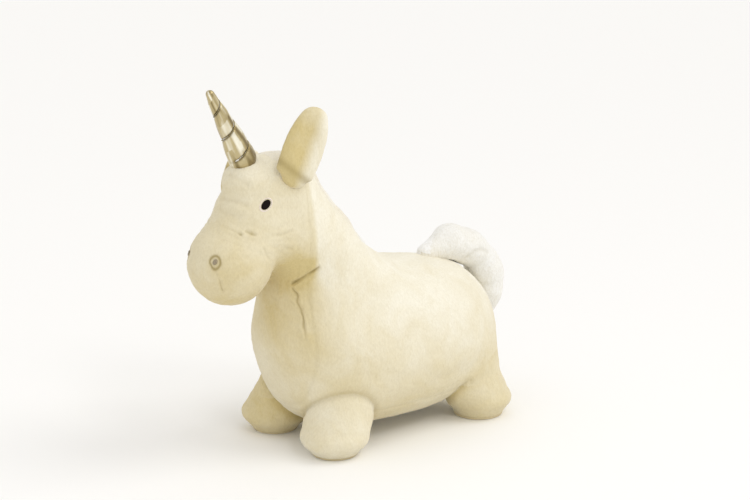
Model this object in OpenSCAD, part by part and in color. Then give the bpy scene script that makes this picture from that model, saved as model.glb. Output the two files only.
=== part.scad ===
// Ride-on plush unicorn: an air-filled vinyl bladder inside a sewn plush cover.
// The toy faces -Y, its left side is +X, and it stands on z = 0.
// Every soft shape takes an inset t, so that covers, bladder and stuffing nest.

/* [Body] */
// Radius of the barrel that the rider sits on
body_r = 124; // [118:1:128]
// Length of the barrel from chest to rump
body_len = 394; // [382:2:402]
// Height of the barrel's axis above the floor
body_z = 132; // [130:1:136]
// Height of the flat strip under the belly
belly_z = 22; // [21:1:24]

/* [Legs] */
// Distance between the centres of the left and right feet
track = 146; // [140:2:150]
// Distance between the centres of the front and rear feet
wheelbase = 284; // [276:2:290]
// Radius of each foot
foot_r = 54; // [51:1:56]
// Radius of each flat sole
sole_r = 33; // [30:1:37]

/* [Ears, horn and tail] */
// Length of an ear above its root
ear_len = 98; // [90:2:102]
// Half the width of an ear
ear_half_width = 29; // [26:1:32]
// How far the right ear has flopped outwards from upright
ear_flop = 141; // [138:1:144]
// Length of the horn above its root
horn_len = 116; // [106:2:126]
// Radius of the horn at its root
horn_r = 20; // [18:1:21]
// Lean of the horn towards the nose
horn_lean = 29; // [24:1:34]
// Diameter of the thread that is wound around the horn
thread_d = 1.6; // [1.2:0.1:2]

/* [Cover and bladder] */
// Thickness of the plush cover
cover = 4; // [3:0.5:4.5]
// Wall of the vinyl bladder
bladder_wall = 2; // [1.5:0.5:2.5]
// Length of the zip under the belly
zip_len = 150; // [120:5:150]

/* [Hidden] */

// Gap between the cover and the bladder, and around each moving root
gap = 0.5;
body_y = 40;
bladder_t = cover + gap;
trim_wall = 3;
far = 700;

cream = [0.96, 0.94, 0.87];
face_cream = [0.86, 0.82, 0.70];
white = [0.97, 0.97, 0.95];
gold = [0.80, 0.74, 0.58];

// Roots: centre of each moving piece's ball
ear_root_r = 13;
ear_root = [58, -161, 426];
horn_root = [0, -208, 446];
tail_root = [0, 135, 249];
tail_root_r = 18;
tail_bend = [0, 244, 219];
tail_bend_r = 26;

// Seams
front_seam_y = -139;
chin_z = 317;
throat_y = -201;
belly_seam_z = 58;
mane_half_width = 33;
mane_rise = 4;

// Zip and valve
zip_front_y = -53;
zip_half_width = 9;
tape_t = 1;
tape_z = belly_z + 1;
coil_w = 1.5;
coil_h = 1.8;
coil_z = tape_z - coil_h;
slider_t = 1.4;
slider_w = 9;
slider_len = 11;
slider_y = zip_front_y + slider_len / 2 + 2;
slider_z = coil_z - 0.3 - slider_t;
pull_pin_z = slider_z - 1.6;
pull_len = 14;
valve_y = 118;
valve_r = 8.8;
valve_bore_r = 6;
valve_depth = 18;
flange_r = 16;

module spheroid(centre, radii, t = 0, fn = 18) {
    translate(centre) scale([for (r = radii) r - t]) sphere(r = 1, $fn = fn);
}
module mirror_if(flip) {
    mirror([flip ? 1 : 0, 0, 0]) children();
}

// ---- Body ----
module barrel(t) {
    squareness = 2.5;
    steps = 6;
    half = body_len / 2 - t;
    r = body_r - t;
    outline = [for (i = [-steps : steps]) let (a = 90 * i / steps)
        [r * pow(max(cos(a), 0), 2 / squareness),
         half * sign(a) * pow(abs(sin(a)), 2 / squareness)]];
    translate([0, body_y, body_z]) rotate([90, 0, 0]) rotate_extrude($fn = 32) polygon(outline);
}
module shoulder(t) { spheroid([0, -74, 175], [98, 97, 80], t); }
module throat(t) { spheroid([0, -95, 293], [72, 62, 62], t); }
module withers(t) { spheroid([0, -21, 220], [82, 60, 60], t); }
module crown(t) { spheroid([0, -161, 389], [59, 68, 54], t); }
module brow(t) { spheroid([0, -190, 350], [56, 54, 54], t); }
module muzzle(t) { spheroid([0, -234, 296], [60, 60, 60], t); }
module loin(t) { spheroid([0, 55, 185], [84, 60, 60], t); }
module sockets(t) {
    for (flip = [false, true])
        mirror_if(flip) translate(ear_root) sphere(r = ear_root_r + gap + t, $fn = 20);
    translate(horn_root) sphere(r = horn_r + gap + t, $fn = 20);
    translate(tail_root) sphere(r = tail_root_r + gap + t, $fn = 20);
}
module core(t) {
    difference() {
        union() {
            barrel(t);
            hull() { shoulder(t); throat(t); }
            hull() { throat(t); crown(t); }
            hull() { crown(t); brow(t); }
            hull() { brow(t); muzzle(t); }
            hull() { throat(t); withers(t); }
            hull() { withers(t); loin(t); }
            hull() { brow(t); throat(t); }
            hull() { shoulder(t); withers(t); }
        }
        sockets(t);
        translate([-far / 2, -far / 2, -far + belly_z + t]) cube(far);
    }
}
module leg(end, t) {
    foot_y = body_y - 1 + end * wheelbase / 2;
    hip_y = body_y + (end > 0 ? 107 : -100);
    hull() {
        spheroid([50, hip_y, 102], [45, 50, 50], t);
        spheroid([track / 2, foot_y, 25], [foot_r, foot_r, 23], t);
        translate([track / 2, foot_y, t]) cylinder(r = sole_r, h = 2, $fn = 20);
    }
}
module all_legs(t) {
    for (flip = [false, true], end = [-1, 1]) mirror_if(flip) leg(end, t);
}

// ---- Cover ----
module half_space(flip) {
    mirror_if(flip) translate([0, -far, -far]) cube([far, 2 * far, 2 * far]);
}
module front_region() {
    translate([-far, -far + front_seam_y, -far]) cube([2 * far, far, 2 * far]);
}
module muzzle_region() {
    intersection() {
        translate([-far, -far + throat_y, -far]) cube([2 * far, far, 2 * far]);
        translate([0, -281, 351]) rotate([-28, 0, 0]) translate([-far, -far, -far]) cube([2 * far, 2 * far, far]);
    }
}
module below(z) {
    translate([-far, -far, z - far]) cube([2 * far, 2 * far, far]);
}
module above(z) {
    translate([-far, -far, z]) cube([2 * far, 2 * far, far]);
}
module body_shell() {
    difference() {
        core(0);
        core(cover);
        all_legs(cover);
    }
}
module head_panel(flip) {
    color(face_cream) intersection() {
        difference() { body_shell(); muzzle_region(); }
        front_region();
        above(chin_z);
        half_space(flip);
    }
}
module muzzle_panel() {
    color(face_cream) intersection() { body_shell(); muzzle_region(); }
}
module chest_panel() {
    color(face_cream) intersection() {
        difference() { body_shell(); muzzle_region(); below(belly_seam_z); above(chin_z); }
        front_region();
    }
}
module side_panel(flip) {
    color(cream) intersection() {
        difference() { body_shell(); front_region(); below(belly_seam_z); }
        half_space(flip);
    }
}
module belly_panel() {
    color(cream) difference() {
        intersection() { body_shell(); below(belly_seam_z); }
        translate([-zip_half_width, zip_front_y, 0]) cube([2 * zip_half_width, zip_len, belly_seam_z]);
        translate([0, valve_y, 0]) cylinder(r = flange_r + 2, h = belly_seam_z, $fn = 32);
    }
}
module throat_front() {
    translate([-far, -far - 140, 0]) cube([2 * far, far, 346]);
}
module mane() {
    color(white) intersection() {
        difference() { core(-mane_rise); core(-gap / 2); throat_front(); }
        translate([-mane_half_width, -183, 236]) cube([2 * mane_half_width, 200, far]);
        translate([0, -183, 376]) rotate([-28, 0, 0]) translate([-far, 0, -far / 2]) cube([2 * far, far, far]);
    }
}
module leg_cover(flip, end) {
    color(cream) mirror_if(flip) difference() {
        leg(end, 0);
        leg(end, cover);
        core(-gap / 2);
        below(cover);
    }
}
module sole(flip, end) {
    color(face_cream) mirror_if(flip) translate([track / 2, body_y - 1 + end * wheelbase / 2, 0])
        cylinder(r = sole_r + 2, h = cover, $fn = 48);
}

// ---- Bladder and valve ----
module bladder() {
    color([0.85, 0.86, 0.88, 1]) difference() {
        union() { core(bladder_t); all_legs(bladder_t); }
        union() { core(bladder_t + bladder_wall); all_legs(bladder_t + bladder_wall); }
        translate([0, valve_y, 0]) cylinder(r = valve_r + 0.4, h = body_z, $fn = 32);
    }
}
module valve_body() {
    flange_top = belly_z + bladder_t - 0.1;
    color([0.90, 0.90, 0.88]) translate([0, valve_y, 0]) rotate_extrude($fn = 64) polygon([
        [valve_bore_r, flange_top - 2], [flange_r, flange_top - 2], [flange_r, flange_top],
        [valve_r, flange_top], [valve_r, flange_top + valve_depth], [valve_bore_r, flange_top + valve_depth]]);
}
module valve_plug() {
    seat = belly_z + bladder_t - 2.2;
    stem_r = valve_bore_r - 0.06;
    color([0.93, 0.93, 0.92]) translate([0, valve_y, 0]) rotate_extrude($fn = 64) polygon([
        [0, seat - 2], [9, seat - 2], [10, seat - 1], [10, seat],
        [stem_r, seat], [stem_r, seat + 15], [stem_r - 1.5, seat + 17], [0, seat + 17]]);
}

// ---- Face ----
module stitched_spot(centre, turn, slant, half_sizes) {
    translate(centre) rotate(turn) rotate(slant) scale([half_sizes[0], half_sizes[1], 1])
        cylinder(r = 1, h = half_sizes[2], $fn = 24);
}
module eye(flip) {
    color([0.10, 0.05, 0.05]) mirror_if(flip) difference() {
        stitched_spot([45, -201, 389], [88, 0, 58], 48, [9, 5.5, 6.2]);
        core(-gap / 2);
    }
}
module nostril(flip) {
    color([0.63, 0.57, 0.48]) mirror_if(flip) difference() {
        stitched_spot([24, -276, 312], [74, 0, 30], 60, [6, 3.5, 10.5]);
        core(-gap / 2);
    }
}

// ---- Ears ----
module place_ear(flip) {
    mirror_if(flip) translate(ear_root) rotate(flip ? [ear_flop, 0, 108] : [-7, 22, 60])
        children();
}
ear_tip_r = 12;
function ear_w(s) = ear_half_width * (1 - 0.38 * pow(s, 4) - 0.15 * pow(1 - s, 3));
function ear_t(s) = 11.5 - 4 * s;
function ear_h(s) = 8 + (ear_tip_r - 8) * s;
module ear_body(t, stations) {
    spheroid([0, 0, 0], [ear_root_r, ear_root_r, ear_root_r], t, 14);
    for (i = [0 : stations - 1]) hull() for (k = [i, i + 1]) let (s = k / stations)
        spheroid([0, 0, s * (ear_len - ear_tip_r)], [ear_w(s), ear_t(s), ear_h(s)], t, 14);
}
module ear_panel(flip, inner) {
    color(inner ? face_cream : cream) place_ear(flip) difference() {
        ear_body(0, 5);
        ear_body(trim_wall, 5);
        rotate([0, 0, inner ? 0 : 180]) translate([-far, 0, -far]) cube([2 * far, far, 2 * far]);
    }
}
module ear_stuffing(flip) {
    color(white) place_ear(flip) ear_body(trim_wall + 2 * gap, 8);
}

// ---- Horn ----
horn_tip_r = 7;
module place_horn() {
    translate(horn_root) rotate([horn_lean, 0, 0]) children();
}
function horn_profile(t) = let (r0 = horn_r - t, r1 = horn_tip_r - t, z1 = horn_len - horn_tip_r) concat(
    [for (a = [-90 : 15 : 0]) [r0 * cos(a), r0 * sin(a)]],
    [for (a = [0 : 15 : 90]) [r1 * cos(a), z1 + r1 * sin(a)]]);
module horn_cover() {
    color(gold) place_horn() difference() {
        rotate_extrude($fn = 48) polygon(horn_profile(0));
        rotate_extrude($fn = 48) polygon(horn_profile(2));
        translate([0, 0, -horn_r - 1]) cylinder(r = 5, h = 10, $fn = 24);
    }
}
module horn_stuffing() {
    color(white) place_horn() rotate_extrude($fn = 48) polygon(horn_profile(2.1));
}
module horn_thread() {
    turns = 2.5;
    steps = 40;
    z0 = 8;
    z1 = horn_len - horn_tip_r - 6;
    function at(k) = let (z = z0 + (z1 - z0) * k / steps,
        cover_r = horn_r + (horn_tip_r - horn_r) * z / (horn_len - horn_tip_r),
        r = (cover_r + thread_d / 2 + 0.1) / cos(180 * turns / steps),
        a = 314 + 360 * turns * k / steps) [r * cos(a), r * sin(a), z];
    color([0.74, 0.67, 0.48]) place_horn() for (k = [0 : steps - 1]) hull() {
        translate(at(k)) sphere(r = thread_d / 2, $fn = 6);
        translate(at(k + 1)) sphere(r = thread_d / 2, $fn = 6);
    }
}

// ---- Tail ----
module tail_upper_body(t) {
    difference() {
        union() {
            hull() { spheroid(tail_root, [18, 18, 18], t, 16); spheroid([0, 182, 262], [27, 28, 24], t, 16); }
            hull() { spheroid([0, 182, 262], [27, 28, 24], t, 16); spheroid([0, 214, 247], [28, 27, 26], t, 16); }
            hull() { spheroid([0, 214, 247], [28, 27, 26], t, 16); spheroid([0, 233, 234], [27, 25, 25], t, 16); }
        }
        translate(tail_bend) sphere(r = tail_bend_r + 2 * gap + t, $fn = 24);
        core(-1.5 - t);
    }
}
module tail_lower_body(t) {
    difference() {
        union() {
            hull() { spheroid(tail_bend, [26, 26, 26], t, 16); spheroid([0, 258, 194], [29, 28, 26], t, 16); }
            hull() { spheroid([0, 258, 194], [29, 28, 26], t, 16); spheroid([0, 261, 165], [28, 25, 26], t, 16); }
            hull() { spheroid([0, 261, 165], [28, 25, 26], t, 16); spheroid([0, 254, 138], [20, 18, 19], t, 16); }
        }
        core(-3 - t);
    }
}
module tail_upper_cover(flip) {
    color(white) intersection() {
        difference() { tail_upper_body(0); tail_upper_body(trim_wall); }
        half_space(flip);
    }
}
module tail_lower_cover(flip) {
    color(white) intersection() {
        difference() { tail_lower_body(0); tail_lower_body(trim_wall); }
        half_space(flip);
    }
}
module tail_upper_stuffing() { color(white) tail_upper_body(trim_wall + 0.1); }
module tail_lower_stuffing() { color(white) tail_lower_body(trim_wall + 0.1); }

// ---- Zip ----
module zip_tape(flip) {
    color(cream) mirror_if(flip) translate([0.3, zip_front_y + 0.2, tape_z])
        cube([zip_half_width - 0.5, zip_len - 0.4, tape_t]);
}
module zip_coil(flip) {
    color(white) mirror_if(flip) translate([0.05, zip_front_y + 4, coil_z])
        cube([coil_w, zip_len - 8, coil_h]);
}
module zip_stop(y) {
    color([0.72, 0.72, 0.72]) translate([-2, y, coil_z]) cube([4, 1.8, coil_h]);
}
module zip_slider() {
    color([0.75, 0.75, 0.76]) translate([0, slider_y, slider_z]) {
        linear_extrude(slider_t) polygon([
            [-slider_w / 2, -slider_len / 2], [slider_w / 2, -slider_len / 2], [slider_w / 2, -1],
            [slider_w / 4, slider_len / 2], [-slider_w / 4, slider_len / 2], [-slider_w / 2, -1]]);
        for (x = [-3.2, 2]) translate([x, -1.6, -3.2]) cube([1.2, 3.2, 3.3]);
        translate([-2.1, 0, -1.6]) rotate([0, 90, 0]) cylinder(r = 0.6, h = 4.2, $fn = 24);
    }
}
module zip_pull() {
    color([0.75, 0.75, 0.76]) translate([0, slider_y, pull_pin_z]) difference() {
        translate([-1.9, 0, 0]) rotate([0, 90, 0]) union() {
            cylinder(r = 1.4, h = 3.8, $fn = 24);
            translate([0, -0.8, 0]) cube([pull_len, 1.6, 3.8]);
        }
        translate([-3, 0, 0]) rotate([0, 90, 0]) cylinder(r = 0.66, h = 6, $fn = 24);
    }
}

bladder();
valve_body();
valve_plug();
muzzle_panel();
head_panel(false);  // head_panel_left
head_panel(true);  // head_panel_right
chest_panel();
side_panel(false);  // side_panel_left
side_panel(true);  // side_panel_right
belly_panel();
mane();
leg_cover(false, -1);  // leg_front_left
leg_cover(true, -1);  // leg_front_right
leg_cover(false, 1);  // leg_rear_left
leg_cover(true, 1);  // leg_rear_right
sole(false, -1);  // sole_front_left
sole(true, -1);  // sole_front_right
sole(false, 1);  // sole_rear_left
sole(true, 1);  // sole_rear_right
eye(false);  // eye_left
eye(true);  // eye_right
nostril(false);  // nostril_left
nostril(true);  // nostril_right
ear_panel(false, true);  // ear_left_inner
ear_panel(false, false);  // ear_left_outer
ear_stuffing(false);  // ear_left_stuffing
ear_panel(true, true);  // ear_right_inner
ear_panel(true, false);  // ear_right_outer
ear_stuffing(true);  // ear_right_stuffing
horn_cover();
horn_thread();
horn_stuffing();
tail_upper_cover(false);  // tail_upper_left
tail_upper_cover(true);  // tail_upper_right
tail_upper_stuffing();
tail_lower_cover(false);  // tail_lower_left
tail_lower_cover(true);  // tail_lower_right
tail_lower_stuffing();
zip_tape(false);  // zip_tape_left
zip_tape(true);  // zip_tape_right
zip_coil(false);  // zip_coil_left
zip_coil(true);  // zip_coil_right
zip_stop(zip_front_y + 1);  // zip_stop_front
zip_stop(zip_front_y + zip_len - 3);  // zip_stop_rear
zip_slider();
zip_pull();
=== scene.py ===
import math

import bpy
import numpy as np
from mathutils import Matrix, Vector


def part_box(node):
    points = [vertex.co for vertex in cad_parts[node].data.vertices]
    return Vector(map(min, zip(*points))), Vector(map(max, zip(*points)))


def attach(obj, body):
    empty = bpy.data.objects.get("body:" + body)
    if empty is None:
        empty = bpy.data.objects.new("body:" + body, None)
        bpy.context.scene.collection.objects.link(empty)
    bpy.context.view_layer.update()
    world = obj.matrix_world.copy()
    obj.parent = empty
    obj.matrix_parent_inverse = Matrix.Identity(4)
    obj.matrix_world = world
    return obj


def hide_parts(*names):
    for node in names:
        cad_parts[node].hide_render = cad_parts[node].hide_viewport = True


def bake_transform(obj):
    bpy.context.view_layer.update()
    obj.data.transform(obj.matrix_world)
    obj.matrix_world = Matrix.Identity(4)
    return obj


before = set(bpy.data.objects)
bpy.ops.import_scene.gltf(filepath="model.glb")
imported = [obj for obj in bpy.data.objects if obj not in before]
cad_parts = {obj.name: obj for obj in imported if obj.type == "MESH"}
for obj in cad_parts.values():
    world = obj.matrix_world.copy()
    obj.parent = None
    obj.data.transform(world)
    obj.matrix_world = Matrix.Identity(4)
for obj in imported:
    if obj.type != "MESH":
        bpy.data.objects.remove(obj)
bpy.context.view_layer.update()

import openvdb
from mathutils import Vector

# Shapes are worked out in millimetres in the row frame, and made into meshes in metres.
MM = 0.001
PILE = 1.6                 # spacing of the finished plush mesh, mm


# ---------------------------------------------------------------- fields and noise
def vec(*v):
    return np.array(v, np.float32)


def length(v):
    return np.sqrt((v * v).sum(axis=-1))


def ellipsoid(p, centre, radii):
    q = p - vec(*centre)
    r = vec(*radii)
    k0 = length(q / r)
    k1 = length(q / (r * r))
    return k0 * (k0 - 1.0) / np.maximum(k1, 1e-6)


def smooth_min(a, b, k):
    h = np.maximum(k - np.abs(a - b), 0.0) / k
    return np.minimum(a, b) - h * h * k * 0.25


def smooth_max(a, b, k):
    return -smooth_min(-a, -b, k)


def taper(p, start, end, steps=7, soft=4.0):
    """The skin stretched between two ellipsoids, each given as (centre, radii)."""
    (c0, r0), (c1, r1) = start, end
    d = None
    for t in np.linspace(0.0, 1.0, steps):
        e = ellipsoid(p, vec(*c0) * (1 - t) + vec(*c1) * t, vec(*r0) * (1 - t) + vec(*r1) * t)
        d = e if d is None else smooth_min(d, e, soft)
    return d


def noise(p, size, seed):
    """Smooth value noise from -1 to 1, with lumps about size mm across."""
    q = p / size + seed * 17.31
    base = np.floor(q).astype(np.int64)
    f = (q - base).astype(np.float32)
    f = f * f * f * (f * (f * 6 - 15) + 10)
    total = np.zeros(len(p), np.float32)
    for corner in range(8):
        o = np.array([corner & 1, (corner >> 1) & 1, corner >> 2])
        i = (base + o).astype(np.uint64)
        h = i[:, 0] * np.uint64(73856093) ^ i[:, 1] * np.uint64(19349663) ^ i[:, 2] * np.uint64(83492791)
        h = (h ^ (h >> np.uint64(13))) * np.uint64(1274126177 + seed)
        h = (h ^ (h >> np.uint64(16))) & np.uint64(0xFFFF)
        w = np.prod(np.where(o == 1, f, 1 - f), axis=1)
        total += w * (h.astype(np.float32) / 32767.5 - 1)
    return total


def bump(d, width):
    return np.exp(-(d / width) ** 2)


def segment_distance(p, a, b):
    a, b = vec(*a), vec(*b)
    ab = b - a
    t = np.clip(((p - a) @ ab) / (ab @ ab), 0, 1)
    return length(p - (a + t[:, None] * ab))


def path_distance(p, points):
    best = None
    for a, b in zip(points[:-1], points[1:]):
        d = segment_distance(p, a, b)
        best = d if best is None else np.minimum(best, d)
    return best


# ---------------------------------------------------------------- the unicorn's form
BODY_Y = 40.0
BARREL_R, BARREL_HALF, BARREL_Z, SQUARENESS = 124.0, 197.0, 132.0, 2.5
SHOULDER = ((0, -74, 175), (98, 97, 80))
THROAT = ((0, -93, 294), (72, 63.5, 63.5))
WITHERS = ((0, -21, 220), (82, 60, 60))
CROWN = ((0, -159, 388), (58, 66, 54))
HORN_SEAT = ((0, -203, 410), (37, 31, 30))
BROW = ((0, -190, 357), (56, 53, 53))
BRIDGE = ((0, -207, 328), (55, 51, 53))
MUZZLE = ((0, -234, 296), (60, 60, 60))
LOIN = ((0, 55, 185), (84, 60, 60))
HIP = ((50, 100, 102), (45, 50, 50))
FOOT = ((73, 142, 28), (51, 51, 27))
PAD_R = 34.5               # flat pad under a front foot; 3 mm wider under a rear one
REAR_HIP_SHIFT = 12.0
LEG_TOP = 125.0            # the leg covers end at this height
BELLY_Z = 22.0
SOLE_TOP = 3.0
FRONT_SEAM_Y = -139.0
CHIN_Z = 317.0
BELLY_SEAM_Z = 58.0
MUZZLE_SEAM = (vec(0, -281, 351), vec(0, -math.sin(math.radians(28)), -math.cos(math.radians(28))))
THROAT_Y = -201.0


def barrel(p):
    rho = np.sqrt(p[:, 0] ** 2 + (p[:, 2] - BARREL_Z) ** 2) + 1e-3
    y = np.abs(p[:, 1] - BODY_Y) + 1e-3
    q = SQUARENESS
    f = ((rho / BARREL_R) ** q + (y / BARREL_HALF) ** q) ** (1 / q)
    around, along = rho ** (q - 1) / BARREL_R ** q, y ** (q - 1) / BARREL_HALF ** q
    slope = f ** (1 - q) * np.sqrt(around ** 2 + along ** 2)
    return (f - 1) / np.maximum(slope, 1e-4)


def core(p):
    neck = smooth_min(taper(p, SHOULDER, THROAT), taper(p, THROAT, CROWN), 10)
    neck = smooth_min(neck, taper(p, THROAT, WITHERS), 16)
    back = smooth_min(barrel(p), taper(p, WITHERS, LOIN), 26)
    head = smooth_min(taper(p, CROWN, BROW), taper(p, BROW, BRIDGE), 8)
    head = smooth_min(head, taper(p, BRIDGE, MUZZLE), 8)
    head = smooth_min(head, taper(p, BROW, THROAT), 10)
    head = smooth_min(head, taper(p, CROWN, HORN_SEAT), 6)
    d = smooth_min(smooth_min(neck, back, 30), head, 8)
    return smooth_max(d, BELLY_Z - p[:, 2], 14)


def legs(p):
    """All four legs, the same on both sides, each with a flat pad under the foot."""
    along = p[:, 1] - BODY_Y + 1
    thigh = REAR_HIP_SHIFT * (along > 0) * np.clip((p[:, 2] - 40) / 50, 0, 1)
    q = np.stack([np.abs(p[:, 0]), np.abs(along) - thigh, p[:, 2]], axis=1).astype(np.float32)
    pad = length((q - vec(*FOOT[0]))[:, :2])
    pad = np.maximum(pad - PAD_R - 3 * (along > 0), np.abs(p[:, 2] - 6) - 5)
    return smooth_max(smooth_min(taper(q, HIP, FOOT), pad, 10), SOLE_TOP + 0.5 - p[:, 2], 2.5)


def cover(p):
    rump = np.clip((p[:, 1] - 110) / 50, 0, 1) * np.clip((p[:, 2] - 30) / 50, 0, 1)
    return smooth_min(core(p), legs(p), 7 + 28 * rump)


def gradient(field, p, h=0.6):
    steps = [vec(*(h * (i == k) for i in range(3))) for k in range(3)]
    g = np.stack([field(p + e) - field(p - e) for e in steps], axis=1)
    return g / np.maximum(length(g), 1e-6)[:, None]


def settle(field, p, rounds=3):
    for _ in range(rounds):
        p = p - gradient(field, p) * field(p)[:, None]
    return p


# ---------------------------------------------------------------- meshes
def mesh_object(name, points, faces):
    """A smooth object from points in metres and a list of faces."""
    mesh = bpy.data.meshes.new(name)
    mesh.from_pydata(points.tolist(), [], faces)
    mesh.validate()
    mesh.shade_smooth()
    obj = bpy.data.objects.new(name, mesh)
    bpy.context.scene.collection.objects.link(obj)
    return obj


def new_object(name, verts, faces):
    """The same from points in millimetres and an array of faces."""
    return mesh_object(name, np.asarray(verts) * MM, np.asarray(faces).tolist())


def skin(field, low, high, voxel):
    """The zero surface of a field as (verts, quads), facing outwards."""
    low, high = vec(*low), vec(*high)
    block = 4
    cells = np.ceil((high - low) / (voxel * block)).astype(int)
    n = cells * block

    def points(shape, step, offset):
        axes = (np.arange(k, dtype=np.float32) for k in shape)
        g = np.stack(np.meshgrid(*axes, indexing="ij"), axis=-1)
        return low + (g.reshape(-1, 3) + offset) * step

    coarse = field(points(cells, voxel * block, 0.5)).reshape(tuple(cells))
    values = coarse.repeat(block, 0).repeat(block, 1).repeat(block, 2)
    near = np.flatnonzero(np.abs(values) < voxel * block * 1.4)
    where = np.stack(np.unravel_index(near, tuple(n)), axis=1).astype(np.float32)
    flat = values.reshape(-1)
    for i in range(0, len(near), 200000):
        flat[near[i:i + 200000]] = field(low + where[i:i + 200000] * voxel)
    grid = openvdb.FloatGrid()
    grid.copyFromArray(flat.reshape(tuple(n)))
    found, quads = grid.convertToQuads(0.0)
    verts = (low + found * voxel).astype(np.float32)
    a, b, c, d = (verts[quads[:, k]] for k in range(4))
    outward = (np.cross(c - a, d - b) * gradient(field, (a + c) / 2)).sum()
    return verts, (quads[:, ::-1] if outward < 0 else quads).astype(np.int64)


def subdivide(verts, quads):
    """One step of even subdivision: each quad becomes four."""
    n = len(verts)
    key = np.sort(np.stack([quads, np.roll(quads, -1, axis=1)], axis=2).reshape(-1, 2), axis=1)
    _, first, index = np.unique(key[:, 0] * n + key[:, 1], return_index=True, return_inverse=True)
    mids = (verts[key[first, 0]] + verts[key[first, 1]]) / 2
    e = (n + index).reshape(-1, 4)
    c = n + len(first) + np.arange(len(quads))
    parts = [np.stack([quads[:, k], e[:, k], c, e[:, k - 1]], axis=1) for k in range(4)]
    points = np.concatenate([verts, mids, verts[quads].mean(axis=1)])
    return points.astype(np.float32), np.concatenate(parts)


def vertex_normals(verts, quads):
    face = np.cross(verts[quads[:, 2]] - verts[quads[:, 0]], verts[quads[:, 3]] - verts[quads[:, 1]])
    out = np.zeros_like(verts)
    for k in range(4):
        for axis in range(3):
            out[:, axis] += np.bincount(quads[:, k], face[:, axis], len(verts))
    return out / np.maximum(length(out), 1e-9)[:, None]


def relax(verts, quads, rounds=2, weight=0.5):
    edges = np.stack([quads, np.roll(quads, -1, axis=1)], axis=2).reshape(-1, 2)
    count = np.bincount(edges.ravel(), minlength=len(verts))
    for _ in range(rounds):
        total = np.zeros_like(verts)
        for axis in range(3):
            total[:, axis] = (np.bincount(edges[:, 0], verts[edges[:, 1], axis], len(verts))
                              + np.bincount(edges[:, 1], verts[edges[:, 0], axis], len(verts)))
        verts = verts * (1 - weight) + total / count[:, None] * weight
    return verts.astype(np.float32)


def fit_to(field, verts, quads, rounds):
    for _ in range(rounds):
        verts = verts - vertex_normals(verts, quads) * np.clip(field(verts), -2, 2)[:, None]
    return verts


def plush_mesh(field, low, high, spacing):
    """An even, smooth mesh of a field, ready for pile and seams."""
    verts, quads = skin(field, low, high, 2 * spacing)
    verts = fit_to(field, relax(verts, quads, 2), quads, 2)
    verts, quads = subdivide(verts, quads)
    return fit_to(field, relax(verts, quads, 1), quads, 1), quads


def take(verts, quads, keep, *extras):
    """The part of a mesh that keep marks, with its own vertex numbers."""
    faces = quads[keep]
    used, index = np.unique(faces, return_inverse=True)
    return (verts[used], index.reshape(faces.shape)) + tuple(e[used] for e in extras)


def paint(obj, **layers):
    """Stores numbers per vertex, for the material to read."""
    for name, values in layers.items():
        layer = obj.data.attributes.new(name, "FLOAT", "POINT")
        layer.data.foreach_set("value", np.ascontiguousarray(values, np.float32))


def plush_piece(name, mesh, mat, body, replaces=()):
    """Makes one sewn piece from (verts, quads, normals, painted shade in its creases and seams, tan with
    painted shade).
    """
    verts, quads, normals, groove, warm = mesh
    piece = new_object(name, verts, quads)
    piece.data.normals_split_custom_set_from_vertices(normals.tolist())
    paint(piece, groove=groove, warm=warm)
    piece.data.materials.append(mat)
    if replaces:
        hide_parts(*replaces)
    if isinstance(body, tuple):
        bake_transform(piece)
    else:
        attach(piece, body)
    return piece


# ---------------------------------------------------------------- materials
def material(name):
    m = bpy.data.materials.new(name)
    m.use_nodes = True
    m.node_tree.nodes.clear()
    out = m.node_tree.nodes.new("ShaderNodeOutputMaterial")
    shader = m.node_tree.nodes.new("ShaderNodeBsdfPrincipled")
    m.node_tree.links.new(shader.outputs[0], out.inputs[0])
    return m, m.node_tree, shader


def srgb(r, g, b):
    def one(c):
        c /= 255.0
        return c / 12.92 if c <= 0.04045 else ((c + 0.055) / 1.055) ** 2.4
    return (one(r), one(g), one(b), 1.0)


def node(tree, kind, inputs=(), **settings):
    n = tree.nodes.new(kind)
    for key, value in settings.items():
        setattr(n, key, value)
    for key, value in dict(inputs).items():
        if isinstance(value, bpy.types.NodeSocket):
            tree.links.new(value, n.inputs[key])
        else:
            n.inputs[key].default_value = value
    return n


def object_space(tree, scale=(1, 1, 1)):
    where = node(tree, "ShaderNodeTexCoord").outputs["Object"]
    return node(tree, "ShaderNodeMapping", {"Vector": where, "Scale": scale}).outputs[0]


def noise_node(tree, where, scale, detail=3.0, rough=0.55, distort=0.0):
    return node(tree, "ShaderNodeTexNoise", {"Vector": where, "Scale": scale, "Detail": detail,
                                             "Roughness": rough, "Distortion": distort}).outputs["Fac"]


def spread(tree, value, low, high, to_low=0.0, to_high=1.0):
    return node(tree, "ShaderNodeMapRange", {"Value": value, "From Min": low, "From Max": high,
                                             "To Min": to_low, "To Max": to_high}).outputs[0]


def mix(tree, kind, fac, a, b):
    n = node(tree, "ShaderNodeMix", data_type="RGBA", blend_type=kind)
    for key, value in ((0, fac), (6, a), (7, b)):
        if isinstance(value, bpy.types.NodeSocket):
            tree.links.new(value, n.inputs[key])
        else:
            n.inputs[key].default_value = value
    return n.outputs[2]


def bumps(tree, shader, *layers):
    """Stacks bump layers, each as (height, strength, distance in metres)."""
    normal = None
    for height, strength, distance in layers:
        inputs = {"Height": height, "Strength": strength, "Distance": distance}
        if normal is not None:
            inputs["Normal"] = normal
        normal = node(tree, "ShaderNodeBump", inputs).outputs[0]
    tree.links.new(normal, shader.inputs["Normal"])


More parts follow.
